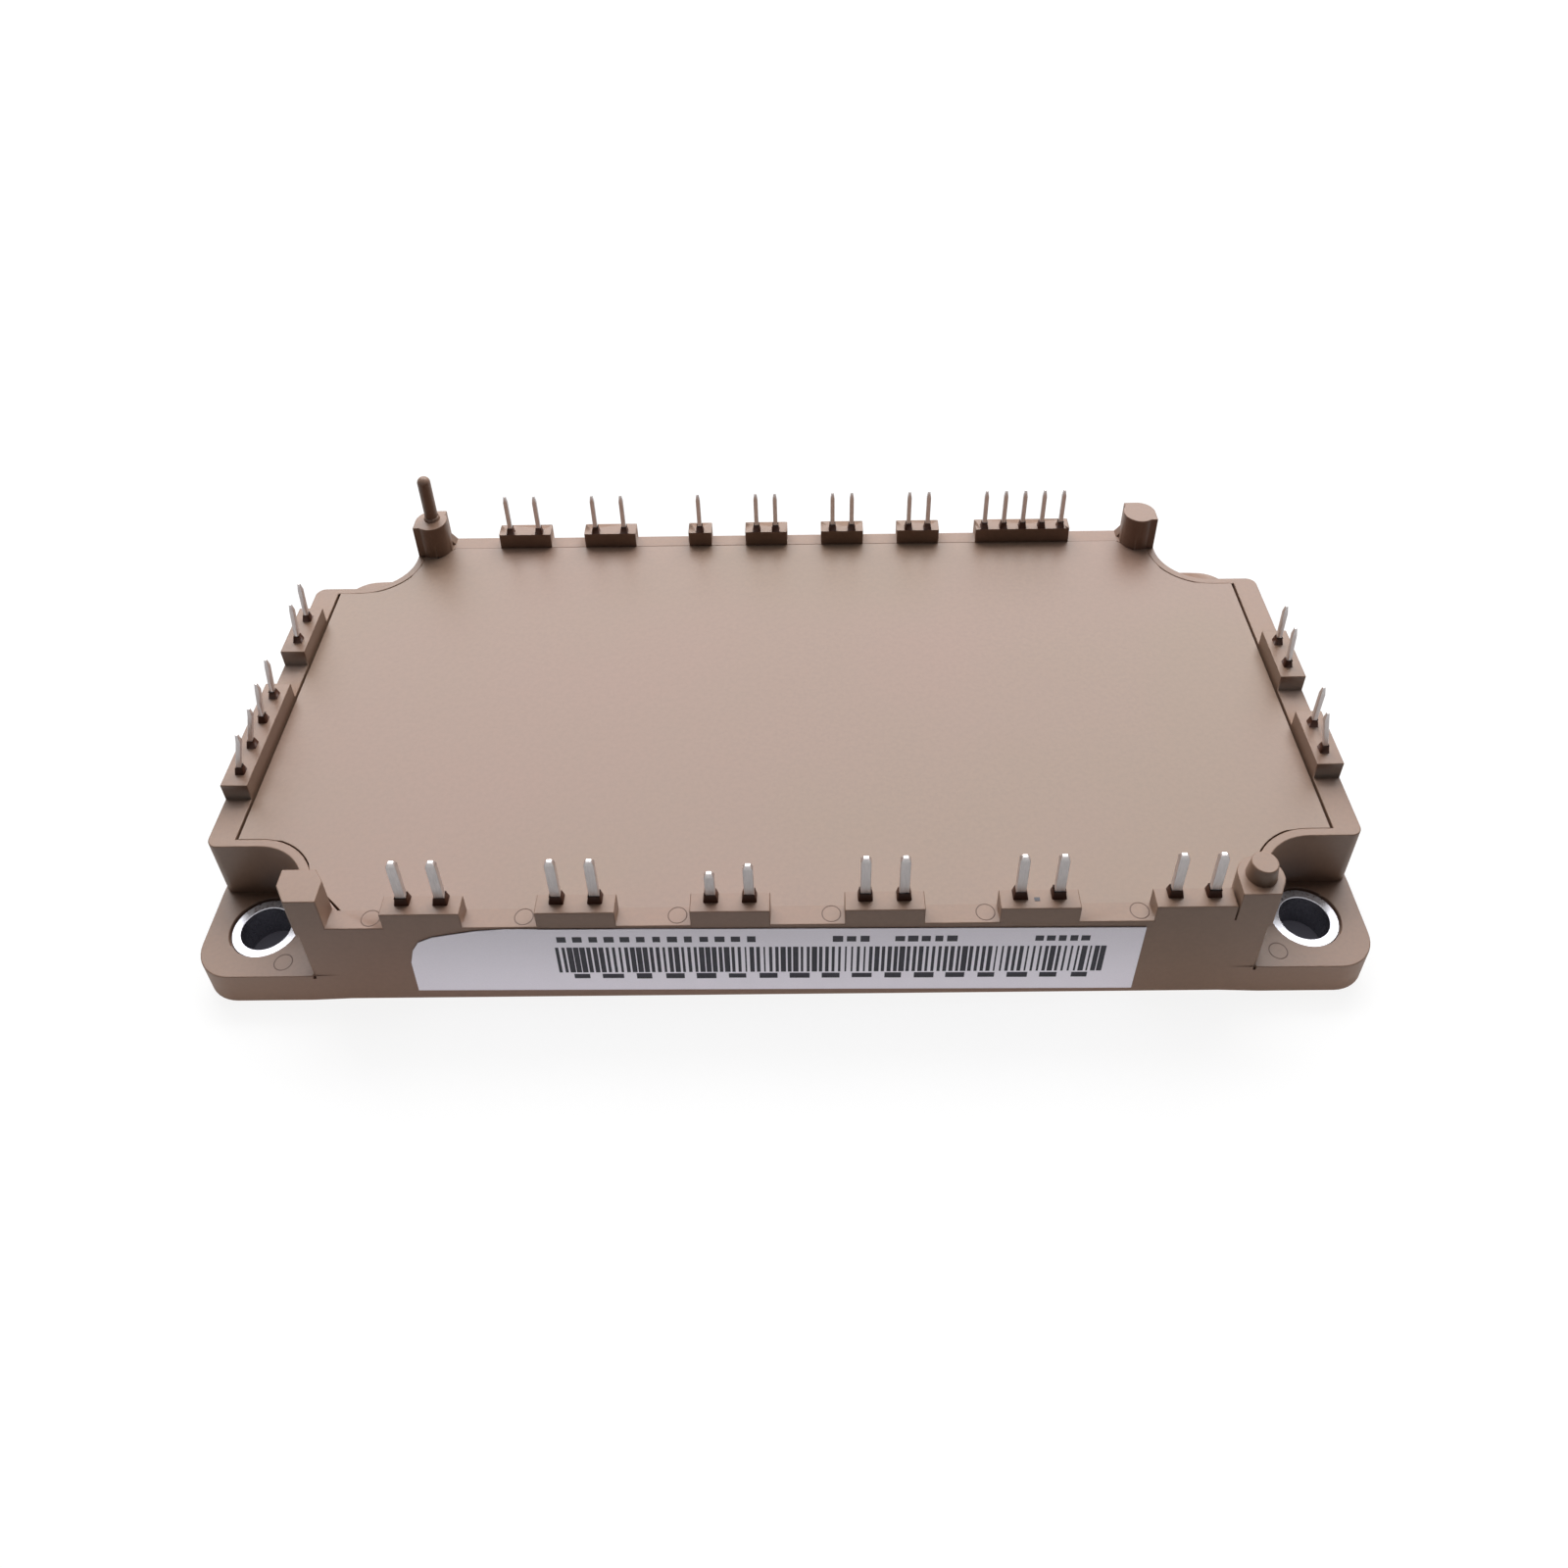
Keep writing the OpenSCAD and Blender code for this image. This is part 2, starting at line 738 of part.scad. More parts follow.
// Paper label on the front wall, put on slightly askew
module rating_label() {
    color([0.86, 0.84, 0.88])
        translate([label_place[0], -half_wid + wall_inset, label_place[1]])
            rotate([90, label_turn, 0])
                linear_extrude(label_t)
                    square([label_len, label_h], center = true);
}

module chip_node(places, side) {
    color(chip_grey)
        chips(places, side, chip_z, chip_t);
}

base_plate();
housing_frame();
cover_plate();
mounting_bushings();
base_seal();
terminal(input_r);  // input_terminal_r
terminal(input_s);  // input_terminal_s
terminal(input_t);  // input_terminal_t
terminal(output_u);  // output_terminal_u
terminal(output_v);  // output_terminal_v
terminal(output_w);  // output_terminal_w
terminal(dc_positive);  // dc_positive_terminal
terminal(dc_link);  // dc_link_terminal
terminal(brake);  // brake_terminal
terminal(dc_negative);  // dc_negative_terminal
terminal(emitter);  // emitter_terminal
terminal(gate_u);  // gate_pins_u
terminal(gate_v);  // gate_pins_v
terminal(gate_w_pins);  // gate_pins_w
terminal(low_side_gate);  // low_side_gate_pins
terminal(sense);  // sense_pins
terminal(ntc_pins);  // thermistor_pins
substrate_solder();
copper_backings();
ceramic(0);  // rectifier_ceramic
ceramic(1);  // high_side_ceramic
ceramic(2);  // low_side_ceramic
tracks(0, false);  // rectifier_tracks
tracks(1, false);  // high_side_tracks
tracks(2, true);  // low_side_tracks
chip_solder();
chip_node(rectifier_places, rectifier_side);  // rectifier_diodes
chip_node(high_igbt_places, igbt_side);  // high_side_igbts
chip_node(low_igbt_places, igbt_side);  // low_side_igbts
chip_node(high_diode_places, low_diode_side);  // high_side_diodes
chip_node(low_diode_places, low_diode_side);  // low_side_diodes
chip_node(brake_igbt_place, brake_side);  // brake_igbt
chip_node(brake_diode_place, low_diode_side);  // brake_diode
thermistor();
chip_bond_wires();
terminal_bond_wires();
silicone_gel();
rating_label();
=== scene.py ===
# %% [markdown]
# # A power module and its finishes
# The module is a flat brown moulding with pins along all four sides. The CAD frame holds every
# piece at its real size. This lesson gives each visible piece its rounded edges, its print and a
# finish made only from shader nodes, then lights it softly and places the camera.

# %% Load the frame
import math
import bpy
import bmesh
from mathutils import Matrix, Vector


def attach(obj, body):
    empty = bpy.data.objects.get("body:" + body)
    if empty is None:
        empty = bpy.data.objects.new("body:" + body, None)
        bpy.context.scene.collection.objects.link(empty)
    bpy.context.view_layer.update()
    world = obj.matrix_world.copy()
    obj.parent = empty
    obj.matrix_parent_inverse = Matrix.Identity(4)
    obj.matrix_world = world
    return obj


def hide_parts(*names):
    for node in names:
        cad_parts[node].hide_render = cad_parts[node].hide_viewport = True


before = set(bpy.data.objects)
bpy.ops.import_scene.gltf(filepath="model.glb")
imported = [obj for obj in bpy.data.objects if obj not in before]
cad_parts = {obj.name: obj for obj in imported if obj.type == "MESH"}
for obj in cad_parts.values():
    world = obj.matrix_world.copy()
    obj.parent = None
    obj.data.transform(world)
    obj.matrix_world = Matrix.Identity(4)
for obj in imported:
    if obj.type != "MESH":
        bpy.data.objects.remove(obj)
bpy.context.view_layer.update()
MM = 0.001

# %% [markdown]
# ## The camera
# A close wide view from the front and above: the near edge looks larger than the far one, and
# upright pins lean outwards. The view is built from where the camera stands, what it looks at and
# a small roll, so that every number has a meaning. A sideways or upward shift of the lens moves
# the frame without turning the camera, as a view camera does.

# %% Place the camera
def look_matrix(aim, azimuth, elevation, distance, roll):
    """Camera placed round a point: azimuth 0 looks along +Y; angles in degrees, lengths in metres."""
    a, e, r = math.radians(azimuth), math.radians(elevation), math.radians(roll)
    back = Vector((math.sin(a) * math.cos(e), -math.cos(a) * math.cos(e), math.sin(e)))
    right = Vector((0, 0, 1)).cross(back).normalized()
    up = back.cross(right)
    side = right * math.cos(r) + up * math.sin(r)
    top = up * math.cos(r) - right * math.sin(r)
    turn = Matrix((side, top, back)).transposed().to_4x4()
    return Matrix.Translation(Vector(aim) + back * distance) @ turn


lens = bpy.data.cameras.new("view")
lens.sensor_width = 36
lens.lens = 30.03
lens.shift_x = -0.0093
lens.shift_y = -0.1782
lens.clip_start = 0.01
lens.clip_end = 20
camera = bpy.data.objects.new("view", lens)
camera.matrix_world = look_matrix(aim=(1.77 * MM, 40.43 * MM, 10 * MM), azimuth=0.470,
                                  elevation=37.302, distance=187.08 * MM, roll=-0.985)
bpy.context.scene.collection.objects.link(camera)
bpy.context.scene.camera = camera
print("camera stands at", [round(v / MM, 1) for v in camera.matrix_world.translation], "mm")

# %% [markdown]
# ## Helpers for node trees
# The studio and every finish are trees of nodes. One small function adds a node of any kind with its
# settings and its links, so that each line of a tree reads as one step. A colour is written as the
# hex code that a paint chart gives, and turned to the linear values that a shader works in.

# %% Add a node, turn a hex code to linear, start an empty tree
def add(tree, kind, inputs=None, stops=(), **settings):
    """Adds a node; an input takes a value or a socket, and stops are a ramp's (position, colour)."""
    made = tree.nodes.new(kind)
    for key, value in settings.items():
        setattr(made, key, value)
    for key, value in (inputs or {}).items():
        if isinstance(value, bpy.types.NodeSocket):
            tree.links.new(value, made.inputs[key])
        else:
            made.inputs[key].default_value = value
    if stops:
        elements = made.color_ramp.elements
        while len(elements) < len(stops):
            elements.new(0.5)
        for element, (position, colour) in zip(elements, stops):
            element.position = position
            element.color = colour
    return made


def linear(code):
    """An sRGB hex colour as linear RGBA."""
    parts = [int(code[i:i + 2], 16) / 255 for i in (1, 3, 5)]
    curve = [p / 12.92 if p <= 0.04045 else ((p + 0.055) / 1.055) ** 2.4 for p in parts]
    return (*curve, 1.0)


def empty_tree(owner):
    """Switches an owner to nodes and returns its tree with nothing in it."""
    owner.use_nodes = True
    owner.node_tree.nodes.clear()
    return owner.node_tree


print("mid grey #808080 is", round(linear("#808080")[0], 3), "in linear light")

# %% [markdown]
# ## The world
# A pale brown part on a white ground is easily washed out by a bright world. So the world gives the
# object only a weak fill, and is white just for the rays that see it as it is: from the camera, off
# a gloss or through glass. Metal and gel then mirror a white room that hardly lights them.

# %% Build the world
WORLD_FILL = 0.03


def seen_directly(tree):
    """1 for rays from the camera, off a gloss or through glass, 0 for soft bounces."""
    path = add(tree, "ShaderNodeLightPath")
    two = add(tree, "ShaderNodeMath", {0: path.outputs["Is Camera Ray"],
                                       1: path.outputs["Is Glossy Ray"]}, operation="MAXIMUM")
    three = add(tree, "ShaderNodeMath", {0: two.outputs[0], 1: path.outputs["Is Transmission Ray"]},
                operation="MAXIMUM")
    first = add(tree, "ShaderNodeMath", {0: path.outputs["Diffuse Depth"], 1: 0.5},
                operation="LESS_THAN")
    return add(tree, "ShaderNodeMath", {0: three.outputs[0], 1: first.outputs[0]},
               operation="MULTIPLY").outputs[0]


world = bpy.data.worlds.new("studio")
bpy.context.scene.world = world
tree = empty_tree(world)
seen = seen_directly(tree)
fill = add(tree, "ShaderNodeBackground", {"Color": (1, 1, 1, 1), "Strength": WORLD_FILL})
white = add(tree, "ShaderNodeBackground", {"Color": (1, 1, 1, 1), "Strength": 1.0})
blend = add(tree, "ShaderNodeMixShader", {0: seen, 1: fill.outputs[0], 2: white.outputs[0]})
add(tree, "ShaderNodeOutputWorld", {"Surface": blend.outputs[0]})
print("world fill", WORLD_FILL, "in", len(tree.nodes), "nodes")

# %% [markdown]
# ## The lamps
# A flat matt part shows its shape when its top is evenly bright and its walls fall away darker. One
# wide lamp overhead gives the plain level. A second, lower and behind, adds a soft gloss to the top,
# which makes the plastic there look paler than on the walls. Large areas keep both shadows soft.

# %% Place the two soft lamps
def area_lamp(name, place, size, power):
    """A soft rectangular lamp that points at the part; its size is (width, height) in metres."""
    data = bpy.data.lights.new(name, "AREA")
    data.shape = "RECTANGLE"
    data.size, data.size_y = size
    data.energy = power
    lamp = bpy.data.objects.new(name, data)
    lamp.location = place
    lamp.rotation_mode = "QUATERNION"
    lamp.rotation_quaternion = (-Vector(place)).to_track_quat("-Z", "Y")
    bpy.context.scene.collection.objects.link(lamp)
    print(name, power, "W")


area_lamp("overhead_softbox", place=(0.0, 0.20, 0.60), size=(0.80, 0.40), power=2.3)
area_lamp("back_softbox", place=(0.0, 0.46, 0.46), size=(0.95, 0.48), power=6.2)

# %% [markdown]
# ## The floor: where it is dark and where it is pale
# The floor does three jobs. To the camera it is a pale sheet with a soft shadow. Close round the
# part it glows, for soft bounces only, and stands in for a lit card that throws light up on the
# front wall and the label. Under the part it is painted dark, a painted shade with a faint bluish
# glow, and that is what the mounting bores look down on. Plain arithmetic on the floor's own
# coordinates tells these zones apart.

# %% Find the zones of the floor, in metres from the middle of the part
# UNDER_X and UNDER_Y bound the patch of painted shade under the part.
UNDER_X, UNDER_Y = 0.0585, 0.0285
EDGE_X, EDGE_Y = 0.061, 0.031
CARD_FULL, CARD_END = 0.008, 0.030
FAR_TONE, CARD_TONE = 0.22, 0.95

bpy.ops.mesh.primitive_plane_add(size=6)
floor = bpy.context.object
floor.name = "floor"
paint = bpy.data.materials.new("pale_floor")
tree = empty_tree(paint)
place = add(tree, "ShaderNodeTexCoord").outputs["Object"]
split = add(tree, "ShaderNodeSeparateXYZ", {0: place})
wide = add(tree, "ShaderNodeMath", {0: split.outputs["X"]}, operation="ABSOLUTE")
deep = add(tree, "ShaderNodeMath", {0: split.outputs["Y"]}, operation="ABSOLUTE")
under_x = add(tree, "ShaderNodeMath", {0: wide.outputs[0], 1: UNDER_X}, operation="LESS_THAN")
under_y = add(tree, "ShaderNodeMath", {0: deep.outputs[0], 1: UNDER_Y}, operation="LESS_THAN")
painted_dark_zone = add(tree, "ShaderNodeMath", {0: under_x.outputs[0], 1: under_y.outputs[0]},
            operation="MULTIPLY")
past_x = add(tree, "ShaderNodeMath", {0: wide.outputs[0], 1: EDGE_X}, operation="SUBTRACT")
past_y = add(tree, "ShaderNodeMath", {0: deep.outputs[0], 1: EDGE_Y}, operation="SUBTRACT")
past = add(tree, "ShaderNodeMath", {0: past_x.outputs[0], 1: past_y.outputs[0]}, operation="MAXIMUM")
near = add(tree, "ShaderNodeMapRange", {0: past.outputs[0], 1: CARD_FULL, 2: CARD_END, 3: 1.0, 4: 0.0})
pale = add(tree, "ShaderNodeMapRange", {0: near.outputs[0], 1: 0.0, 2: 1.0, 3: FAR_TONE, 4: CARD_TONE})
print("the card fades out", round(CARD_END / MM), "mm past the part")

# %% [markdown]
# ## The floor: what each ray gets
# Three shaders share the sheet: one for soft bounces, which carries the card, one for the camera,
# and a plainer one for what is mirrored in the metal. Each is a matt colour plus a little glow, so
# that the ground stays near white and still takes the shadow.

# %% Give the floor its shaders
WHITE = (1, 1, 1, 1)
paper_side = add(tree, "ShaderNodeBsdfDiffuse", {"Color": pale.outputs[0]})
card = add(tree, "ShaderNodeEmission", {"Color": WHITE, "Strength": near.outputs[0]})
bounce = add(tree, "ShaderNodeAddShader", {0: paper_side.outputs[0], 1: card.outputs[0]})
matte = add(tree, "ShaderNodeBsdfDiffuse", {"Color": (0.16, 0.16, 0.16, 1)})
lift = add(tree, "ShaderNodeEmission", {"Color": WHITE, "Strength": 0.88})
shown = add(tree, "ShaderNodeAddShader", {0: matte.outputs[0], 1: lift.outputs[0]})
soft = add(tree, "ShaderNodeBsdfDiffuse", {"Color": (0.52, 0.52, 0.52, 1)})
glow = add(tree, "ShaderNodeEmission", {"Color": WHITE, "Strength": 0.08})
mirrored = add(tree, "ShaderNodeAddShader", {0: soft.outputs[0], 1: glow.outputs[0]})
path = add(tree, "ShaderNodeLightPath")
view = add(tree, "ShaderNodeMixShader", {0: path.outputs["Is Camera Ray"], 1: mirrored.outputs[0],
                                         2: shown.outputs[0]})
both = add(tree, "ShaderNodeMixShader", {0: seen_directly(tree), 1: bounce.outputs[0],
                                         2: view.outputs[0]})
# Under the part: painted shade, dark grey with a faint painted bluish glow, seen down the mounting
# bores.
shade = add(tree, "ShaderNodeBsdfDiffuse", {"Color": (0.10, 0.10, 0.12, 1)})
painted_bore_glow = add(tree, "ShaderNodeEmission", {"Color": (0.85, 0.82, 1.0, 1), "Strength": 0.03})
dark = add(tree, "ShaderNodeAddShader", {0: shade.outputs[0], 1: painted_bore_glow.outputs[0]})
whole = add(tree, "ShaderNodeMixShader", {0: painted_dark_zone.outputs[0], 1: both.outputs[0], 2: dark.outputs[0]})
add(tree, "ShaderNodeOutputMaterial", {"Surface": whole.outputs[0]})
floor.data.materials.append(paint)
print("floor made of", len(tree.nodes), "nodes")

# %% [markdown]
# ## Finishes
# Every finish starts from what the real surface is. Patterns read Object coordinates, which here
# are metres in the part's own frame, so a pattern's scale is one over its real size.
#
# The housing and the lid are a brown glass-filled polyester, injection moulded against an etched
# tool, which leaves it matt. It is a middling brown, and the paler look of its top is the soft gloss
# of the lamp behind. A slow noise shifts the tone by a shade, as uneven flow does. A fine one gives
# the specks of the glass fibres and the grain, drawn at half a millimetre, coarser than the real
# grain, so that it shows.

# %% Moulded plastic for the frame and the cover
def scale_of(mm):
    """Noise scale for a pattern whose cells are that many millimetres."""
    return 1 / (mm * MM)


def new_finish(name):
    """A new material with a Principled shader; returns (material, tree, shader, object coordinates)."""
    made = bpy.data.materials.new(name)
    tree = empty_tree(made)
    shader = add(tree, "ShaderNodeBsdfPrincipled")
    add(tree, "ShaderNodeOutputMaterial", {"Surface": shader.outputs[0]})
    place = add(tree, "ShaderNodeTexCoord").outputs["Object"]
    return made, tree, shader, place


def moulded_plastic(name, tones, grain_mm=0.5, depth_mm=0.006, ior=1.46):
    """Matt glass-filled plastic: faint cloudy tones, fine specks and a soft moulded grain."""
    made, tree, shader, place = new_finish(name)
    cloud = add(tree, "ShaderNodeTexNoise", {"Vector": place, "Scale": scale_of(30), "Detail": 2.0,
                                             "Roughness": 0.45})
    tone = add(tree, "ShaderNodeValToRGB", {0: cloud.outputs[0]},
               stops=list(zip((0.32, 0.5, 0.68), map(linear, tones))))
    speck = add(tree, "ShaderNodeTexNoise", {"Vector": place, "Scale": scale_of(grain_mm),
                                             "Detail": 2.0})
    shade = add(tree, "ShaderNodeValToRGB", {0: speck.outputs[0]},
                stops=[(0.3, (0.95, 0.95, 0.95, 1)), (0.7, (1.04, 1.04, 1.04, 1))])
    colour = add(tree, "ShaderNodeMix", {0: 1.0, 6: tone.outputs[0], 7: shade.outputs[0]},
                 data_type="RGBA", blend_type="MULTIPLY")
    tree.links.new(colour.outputs[2], shader.inputs["Base Color"])
    gloss = add(tree, "ShaderNodeMapRange", {0: speck.outputs[0], 1: 0.3, 2: 0.7, 3: 0.37, 4: 0.42})
    tree.links.new(gloss.outputs[0], shader.inputs["Roughness"])
    shader.inputs["IOR"].default_value = ior
    bump = add(tree, "ShaderNodeBump", {"Height": speck.outputs[0], "Distance": depth_mm * MM,
                                        "Strength": 0.4})
    tree.links.new(bump.outputs[0], shader.inputs["Normal"])
    return made


# Glass-filled polyester of the frame: matt, warm and a little cloudy.
frame_plastic = moulded_plastic("housing_plastic", ("#8A6B5B", "#886B5A", "#866A58"))
# The same plastic from the lid's own tool: a shade greyer, so the two mouldings tell apart.
cover_plastic = moulded_plastic("cover_plastic", ("#8C7062", "#8A7061", "#88705F"))
# Ejector-pin rings: a real mark, drawn as a thin darker line on the brown, which is painted shade along
# each ring's tiny step.
ring_painted_shade = moulded_plastic("ejector_ring_painted_shade", ("#5E4031", "#5A3D2F", "#573A2C"))
# Collars at the pins' feet: a nearly black brown that is painted shade at each pin's foot, with a weak
# gloss from its low IOR.
collar_painted_shade = moulded_plastic("pin_foot_painted_shade", ("#4A2615", "#462414", "#422213"),
                                 grain_mm=0.3, depth_mm=0.01, ior=1.3)
print("plastics:", [made.name for made in (frame_plastic, cover_plastic, ring_painted_shade, collar_painted_shade)])

# %% [markdown]
# ## Metals
# A plated metal takes nearly all its look from what it mirrors, so what matters is a true tint and
# an uneven roughness. Drawn wire and punched strip carry their grain along their length, which a
# stretched noise gives. Each grain is drawn a few times coarser than the real one, so that it shows.

# %% Make the plated and bare metals
def plated_metal(name, colour, low, high, grain_mm, depth_mm, stretch=(1, 1, 1)):
    """A plated metal: its colour, the range of its roughness and a fine grain that may be drawn out."""
    made, tree, shader, place = new_finish(name)
    drawn = add(tree, "ShaderNodeMapping", {"Vector": place, "Scale": stretch})
    grain = add(tree, "ShaderNodeTexNoise", {"Vector": drawn.outputs[0], "Scale": scale_of(grain_mm),
                                             "Detail": 3.0})
    dull = tuple(0.86 * c for c in linear(colour)[:3]) + (1,)
    tone = add(tree, "ShaderNodeValToRGB", {0: grain.outputs[0]},
               stops=[(0.3, dull), (0.7, linear(colour))])
    tree.links.new(tone.outputs[0], shader.inputs["Base Color"])
    gloss = add(tree, "ShaderNodeMapRange", {0: grain.outputs[0], 1: 0.3, 2: 0.7, 3: low, 4: high})
    tree.links.new(gloss.outputs[0], shader.inputs["Roughness"])
    shader.inputs["Metallic"].default_value = 1.0
    bump = add(tree, "ShaderNodeBump", {"Height": grain.outputs[0], "Distance": depth_mm * MM,
                                        "Strength": 0.4})
    tree.links.new(bump.outputs[0], shader.inputs["Normal"])
    return made


# Bright tin on punched copper: soft white streaks that run up each pin.
tinned = plated_metal("tin_plated_copper", "#D9D3D2", 0.28, 0.42, 0.12, 0.004, (1, 1, 0.12))
# Blue-passivated zinc on turned steel: a cool grey ring with a satin shine.
zinc = plated_metal("zinc_plated_steel", "#ACACB2", 0.25, 0.38, 0.25, 0.004)
# Nickel on rolled copper: a warm grey with long faint rolling lines.
nickel = plated_metal("nickel_plated_copper", "#C9C2B4", 0.22, 0.40, 0.30, 0.006, (0.08, 1, 1))
# Etched bare copper: salmon pink and fairly dull.
copper = plated_metal("bare_copper", "#E0A080", 0.30, 0.45, 0.20, 0.004)
# Reflowed solder: silver grey, frozen in slow uneven ripples.
solder = plated_metal("reflowed_solder", "#C9CACD", 0.30, 0.55, 0.60, 0.010)
# Drawn aluminium bond wire: fine, pale and bright.
wire_metal = plated_metal("bond_wire_aluminium", "#E3E4E6", 0.25, 0.35, 0.15, 0.002)
# Polished silicon with its metal layer: a blue-grey mirror.
chip_metal = plated_metal("silicon_chip", "#9A9CA6", 0.12, 0.22, 1.50, 0.001)
print("metals:", [made.name for made in (tinned, zinc, nickel, copper, solder, wire_metal, chip_metal)])

# %% [markdown]
# ## Ceramic, gel, seal, thermistor, paper and ink
# The rest are non-metals, most of them hidden under the lid. Only the label's paper and ink show
# from outside. Each could have a recipe of its own, but at this size two close tones, an uneven
# gloss and a fine grain are all that tells them apart, so one function serves them all.

# %% Make the non-metals
def plain_body(name, light, dark, low, high, grain_mm, depth_mm, ior, clear=0.0):
    """A non-metal with two close tones, an uneven gloss and a fine grain; clear lets light through."""
    made, tree, shader, place = new_finish(name)
    grain = add(tree, "ShaderNodeTexNoise", {"Vector": place, "Scale": scale_of(grain_mm),
                                             "Detail": 4.0})
    tone = add(tree, "ShaderNodeValToRGB", {0: grain.outputs[0]},
               stops=[(0.35, linear(dark)), (0.65, linear(light))])
    tree.links.new(tone.outputs[0], shader.inputs["Base Color"])
    gloss = add(tree, "ShaderNodeMapRange", {0: grain.outputs[0], 1: 0.3, 2: 0.7, 3: low, 4: high})
    tree.links.new(gloss.outputs[0], shader.inputs["Roughness"])
    shader.inputs["IOR"].default_value = ior
    bump = add(tree, "ShaderNodeBump", {"Height": grain.outputs[0], "Distance": depth_mm * MM,
                                        "Strength": 0.4})
    tree.links.new(bump.outputs[0], shader.inputs["Normal"])
    shader.inputs["Transmission Weight"].default_value = clear
    return made


# Fired alumina: bone white and dry.
alumina = plain_body("alumina_ceramic", "#EDEBE4", "#DEDBD2", 0.45, 0.60, 0.20, 0.003, 1.76)
# Cast silicone gel: wet, glassy and very nearly clear.
gel = plain_body("silicone_gel", "#E6EEF0", "#DCE6EA", 0.04, 0.09, 4.0, 0.020, 1.41, clear=0.9)
# Cured silicone adhesive: a lumpy pale grey bead.
seal = plain_body("silicone_adhesive", "#D8D6D0", "#C4C2BC", 0.45, 0.60, 0.8, 0.030, 1.41)
# Sintered oxide: a small charcoal block.
sintered = plain_body("sintered_thermistor", "#3A3A3E", "#26262A", 0.35, 0.50, 0.15, 0.004, 1.60)
# Thermal-transfer ink: soft black, a little bluish.
ink = plain_body("black_label_print", "#3A3842", "#2C2A33", 0.45, 0.60, 0.3, 0.002, 1.50)
# Coated paper: satin, with a faint lilac cast.
paper = plain_body("coated_label_paper", "#EEE8F2", "#EAE4EE", 0.45, 0.55, 0.10, 0.003, 1.50)
print("non-metals:", [made.name for made in (alumina, gel, seal, sintered, ink, paper)])

# %% [markdown]
# ## Rounded edges
# No moulding has a razor edge: a small round catches a line of light along every arris. A CAD node
# is made of loose triangles, so a copy has its doubles merged and its flat faces joined first. Each
# outer edge is then given a bevel weight that fits the room beside it, so that a round never runs
# past a narrow face, and inner corners stay sharp. A Weighted Normal modifier keeps the flats flat.

# %% Weigh the edges of a shape
TURN = math.radians(35)
ROOM_SHARE = 0.42
STRAIGHT_ON = -0.85


def carries_on(edge, other, corner):
    """True where another edge at a corner goes on in nearly the same direction, as on an arc."""
    here = (edge.other_vert(corner).co - corner.co).normalized()
    there = (other.other_vert(corner).co - corner.co).normalized()
    return here.dot(there) < STRAIGHT_ON


def never(edge):
    """No edge is left out."""
    return False


def weigh_edges(shape, width, left_out=never):
    """Bevel weights for the outer edges by the room beside them; every other turn is kept sharp."""
    weight = shape.edges.layers.float.new("bevel_weight_edge")
    for edge in shape.edges:
        if len(edge.link_faces) != 2 or abs(edge.calc_face_angle_signed(0)) < TURN:
            continue
        if edge.calc_face_angle_signed(0) < 0 or left_out(edge):
            edge.smooth = False
            continue
        room = min((side.calc_length() for corner in edge.verts for side in corner.link_edges
                    if side is not edge and not carries_on(edge, side, corner)), default=width)
        edge[weight] = min(1.0, ROOM_SHARE * room / width)


print("edges that turn more than", round(math.degrees(TURN)), "degrees are rounded")

# %% [markdown]
# ## From a CAD node to a finished piece
# A piece is made in three steps: merge a copy of the node, weigh its edges, and wrap the mesh in an
# object that carries its finishes, hides the nodes it stands in for and rides on the root.
# The underside stays sharp, because it lies flat on a heat sink and holds the bores' openings.

# %% Make a rounded piece from a node
MERGE_WITHIN = 0.002 * MM
SAME_PLANE = math.radians(0.5)
CLOSE = 0.05 * MM


def merged_copy(node):
    """A bmesh of a CAD node with its doubles merged and its flat faces joined, all set smooth."""
    shape = bmesh.new()
    shape.from_mesh(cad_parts[node].data)
    bmesh.ops.remove_doubles(shape, verts=shape.verts, dist=MERGE_WITHIN)
    bmesh.ops.dissolve_limit(shape, angle_limit=SAME_PLANE, verts=shape.verts, edges=shape.edges)
    for face in shape.faces:
        face.smooth = True
    return shape


def finished_piece(shape, name, finishes, nodes):
    """Turns a bmesh into a piece with its finishes, which hides the CAD nodes it stands in for and rides
    on the root.
    """
    mesh = bpy.data.meshes.new(name)
    shape.to_mesh(mesh)
    shape.free()
    piece = bpy.data.objects.new(name, mesh)
    bpy.context.scene.collection.objects.link(piece)
    for finish in finishes:
        mesh.materials.append(finish)
    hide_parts(*nodes)
    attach(piece, "root")
    print(name, len(mesh.polygons), "faces")
    return piece


def round_edges(piece, width_mm, segments=2):
    """A bevel by weight and a Weighted Normal modifier."""
    bevel = piece.modifiers.new("rounded_edges", "BEVEL")
    bevel.width = width_mm * MM
    bevel.segments = segments
    bevel.limit_method = "WEIGHT"
    bevel.use_clamp_overlap = False
    flats = piece.modifiers.new("flat_faces", "WEIGHTED_NORMAL")
    flats.keep_sharp = True


def underside(edge):
    """True for an edge on the face that lies on the heat sink."""
    return max(v.co.z for v in edge.verts) < CLOSE


def rounded_copy(node, name, width_mm, finish, segments=2):
    """A copy of a CAD node with rounded edges, standing in for the node."""
    shape = merged_copy(node)
    weigh_edges(shape, width_mm * MM, underside)
    round_edges(finished_piece(shape, name, [finish], [node]), width_mm, segments)


print(len(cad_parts), "nodes to finish")
